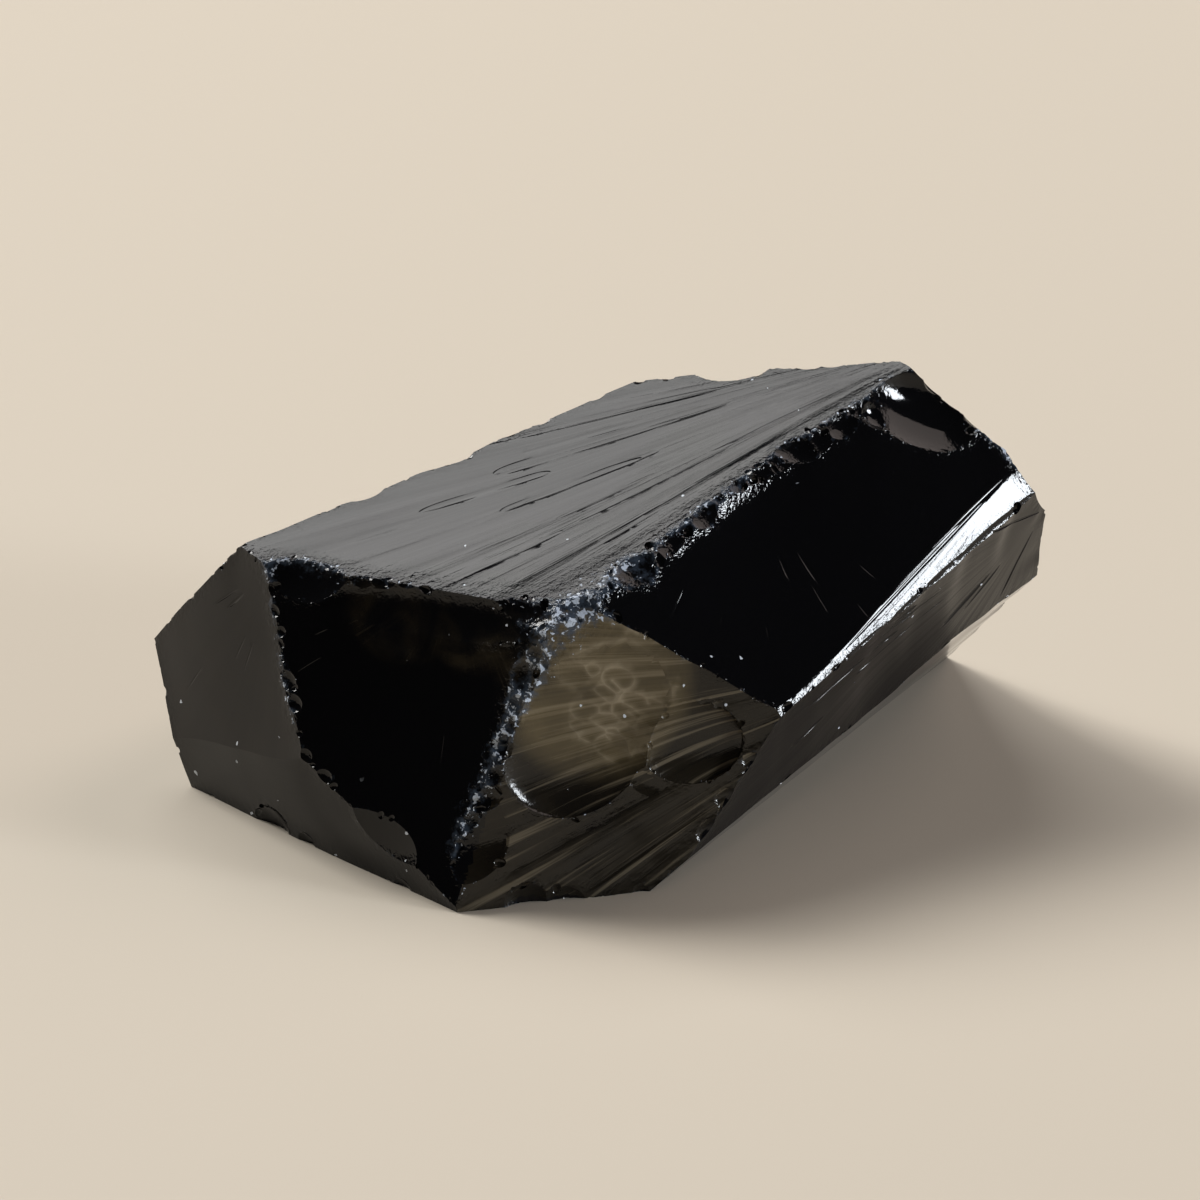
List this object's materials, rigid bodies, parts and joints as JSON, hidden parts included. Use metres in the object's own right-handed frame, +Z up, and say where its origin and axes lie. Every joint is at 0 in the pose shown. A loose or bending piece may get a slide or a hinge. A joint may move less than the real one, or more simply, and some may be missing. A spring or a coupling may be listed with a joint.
{
  "type": "obsidian chunk",
  "caption": "Chunk of raw black obsidian with glossy, curved conchoidal fractures and small chips along its sharp edges, lying on a flat break.",
  "frame": {"origin": "centre of the bounding box's underside, on the flat break that the chunk lies on", "axes": "+X along the chunk's length, towards its taller end; +Y towards the back; +Z up"},
  "size_m": [0.0416, 0.0322, 0.0196],
  "materials": {
    "volcanic_glass": "gloss"
  },
  "bodies": {
    "root": {"obsidian_chunk": "volcanic_glass"}
  },
  "joints": []
}
